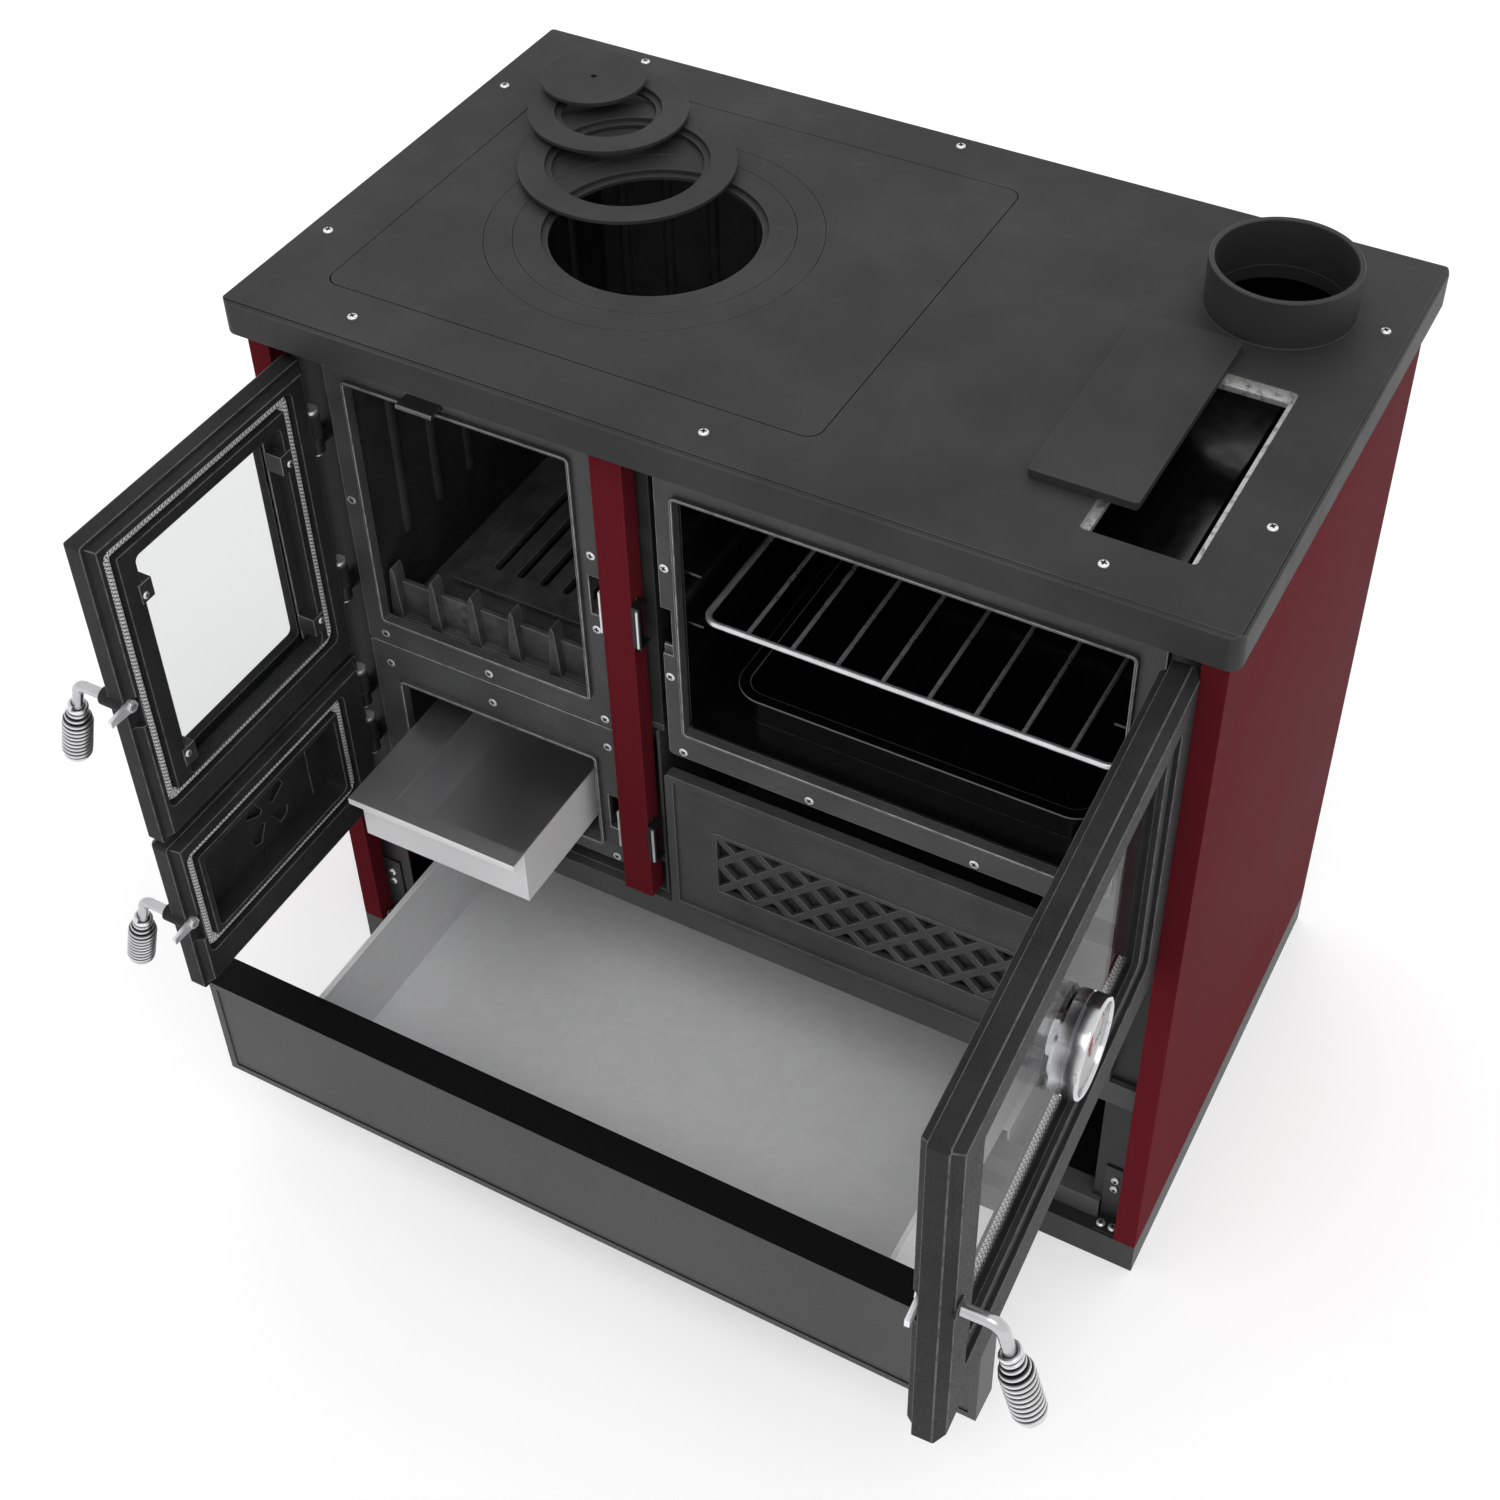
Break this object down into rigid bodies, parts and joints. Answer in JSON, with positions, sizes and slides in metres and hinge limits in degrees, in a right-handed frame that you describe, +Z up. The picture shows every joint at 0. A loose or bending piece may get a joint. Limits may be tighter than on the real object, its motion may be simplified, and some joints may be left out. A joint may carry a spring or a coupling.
{
  "type": "wood cookstove",
  "caption": "Wood-burning kitchen range: firebox with hotplate rings, ash pan, glazed oven with rack and tray, flue collar, soot cover and wood drawer.",
  "frame": {"origin": "on the floor under the centre of the carcass and top plate", "axes": "+X to the right seen from the front, +Y to the back, +Z up; the doors are on the -Y side"},
  "size_m": [1.0057, 0.9939, 0.906],
  "materials": {
    "plate_black": "fine matt heat-resistant paint",
    "cast_black": "black painted casting",
    "cast_grey": "grey-black painted casting",
    "sheet_grey": "satin dark grey paint",
    "enamel_red": "satin burgundy enamel",
    "plinth_black": "satin black paint",
    "firebox_iron": "raw cast iron",
    "oven_enamel": "gloss black enamel",
    "zinc_sheet": "galvanised sheet",
    "chrome_wire": "bright plated",
    "screw_steel": "bright zinc plated",
    "door_glass": "clear ceramic glass",
    "rope_seal": "braided glass-fibre rope",
    "dial_white": "printed dial",
    "pointer_red": "red",
    "drawer_paint": "satin grey paint"
  },
  "bodies": {
    "stove": {"plinth": "plinth_black", "left_side_panel": "enamel_red", "right_side_panel": "enamel_red", "centre_post": "enamel_red", "back_panel": "plinth_black", "hinge_plates": "sheet_grey", "corner_brackets": "plinth_black", "front_rails": "sheet_grey", "shelf_sheet": "sheet_grey", "drawer_runners": "zinc_sheet", "fire_frame": "cast_grey", "ash_frame": "cast_grey", "oven_frame": "cast_grey", "lattice_panel": "cast_grey", "firebox_linings": "firebox_iron", "hearth_plate": "firebox_iron", "grate": "firebox_iron", "log_guard": "firebox_iron", "ash_chamber": "sheet_grey", "oven_box": "oven_enamel", "top_plate": "plate_black", "hotplate": "plate_black", "outer_ring": "plate_black", "middle_ring": "plate_black", "flue_collar": "plate_black", "door_catches": "screw_steel", "hinge_pins": "screw_steel", "body_screws": "screw_steel"},
    "fire_door": {"fire_door_frame": "cast_black", "fire_glass": "door_glass", "fire_gasket": "rope_seal", "fire_glass_clips": "cast_black"},
    "fire_latch": {"fire_handle": "chrome_wire", "fire_grip": "chrome_wire", "fire_pawl": "screw_steel"},
    "ash_door": {"ash_door_frame": "cast_black", "ash_gasket": "rope_seal"},
    "air_control": {"air_disc": "cast_black"},
    "ash_latch": {"ash_handle": "chrome_wire", "ash_grip": "chrome_wire", "ash_pawl": "screw_steel"},
    "oven_door": {"oven_door_frame": "cast_black", "oven_glass": "door_glass", "oven_gasket": "rope_seal", "thermometer_case": "chrome_wire", "thermometer_dial": "dial_white"},
    "dial_hand": {"thermometer_pointer": "pointer_red"},
    "oven_latch": {"oven_handle": "chrome_wire", "oven_grip": "chrome_wire", "oven_pawl": "screw_steel"},
    "rack": {"oven_rack": "chrome_wire"},
    "tray": {"baking_tray": "oven_enamel"},
    "pan": {"ash_pan": "zinc_sheet"},
    "wood_drawer": {"drawer_front": "drawer_paint", "drawer_box": "zinc_sheet"},
    "draught": {"draft_slide": "screw_steel"},
    "soot_cover": {"soot_lid": "plate_black"},
    "large_ring": {"big_ring": "plate_black"},
    "little_ring": {"small_ring": "plate_black"},
    "lid_disc": {"centre_disc": "plate_black"}
  },
  "joints": [
    {"name": "fire_door_hinge", "type": "hinge", "parent": "stove", "child": "fire_door", "pos_m": [-0.398, -0.245, 0.65], "axis": [0, 0, 1], "range_deg": [-15, 90]},
    {"name": "ash_door_hinge", "type": "hinge", "parent": "stove", "child": "ash_door", "pos_m": [-0.398, -0.245, 0.36], "axis": [0, 0, 1], "range_deg": [-15, 90]},
    {"name": "oven_door_hinge", "type": "hinge", "parent": "stove", "child": "oven_door", "pos_m": [0.409, -0.245, 0.63], "axis": [0, 0, 1], "range_deg": [-92.5, 10]},
    {"name": "fire_latch_turn", "type": "hinge", "parent": "fire_door", "child": "fire_latch", "pos_m": [-0.398, -0.526, 0.632], "axis": [1, 0, 0], "range_deg": [0, 90]},
    {"name": "ash_latch_turn", "type": "hinge", "parent": "ash_door", "child": "ash_latch", "pos_m": [-0.398, -0.526, 0.352], "axis": [1, 0, 0], "range_deg": [0, 90]},
    {"name": "oven_latch_turn", "type": "hinge", "parent": "oven_door", "child": "oven_latch", "pos_m": [0.42898, -0.70256, 0.616], "axis": [0.999, 0.0436, 0], "range_deg": [0, 90]},
    {"name": "air_disc_turn", "type": "hinge", "parent": "ash_door", "child": "air_control", "pos_m": [-0.4175, -0.39, 0.358], "axis": [-1, 0, 0], "range_deg": [0, 40]},
    {"name": "dial_hand_turn", "type": "hinge", "parent": "oven_door", "child": "dial_hand", "pos_m": [0.45115, -0.48139, 0.636], "axis": [0.999, 0.0436, 0], "range_deg": [-120, 120]},
    {"name": "drawer_slide", "type": "slide", "parent": "stove", "child": "wood_drawer", "axis": [0, -1, 0], "range_m": [-0.233, 0.1]},
    {"name": "ash_pan_slide", "type": "slide", "parent": "stove", "child": "pan", "axis": [0, -1, 0], "range_m": [-0.14, 0.03]},
    {"name": "rack_slide", "type": "slide", "parent": "stove", "child": "rack", "axis": [0, -1, 0], "range_m": [0, 0.25]},
    {"name": "tray_slide", "type": "slide", "parent": "stove", "child": "tray", "axis": [0, -1, 0], "range_m": [0, 0.25]},
    {"name": "draught_pull", "type": "slide", "parent": "stove", "child": "draught", "axis": [0, 1, 0], "range_m": [-0.003, 0.0166]},
    {"name": "soot_cover_lift", "type": "slide", "parent": "stove", "child": "soot_cover", "axis": [0, 0, 1], "range_m": [0, 0.1]},
    {"name": "large_ring_lift", "type": "slide", "parent": "stove", "child": "large_ring", "axis": [0, 0, 1], "range_m": [0, 0.1]},
    {"name": "small_ring_lift", "type": "slide", "parent": "large_ring", "child": "little_ring", "axis": [0, 0, 1], "range_m": [0, 0.08]},
    {"name": "disc_lift", "type": "slide", "parent": "little_ring", "child": "lid_disc", "axis": [0, 0, 1], "range_m": [0, 0.06]}
  ],
  "couplings": [
    {"joint": "ash_pan_slide", "follows": "ash_door_hinge", "m_per_rad": -0.0885},
    {"joint": "draught_pull", "follows": "fire_door_hinge", "m_per_rad": 0.0105}
  ]
}
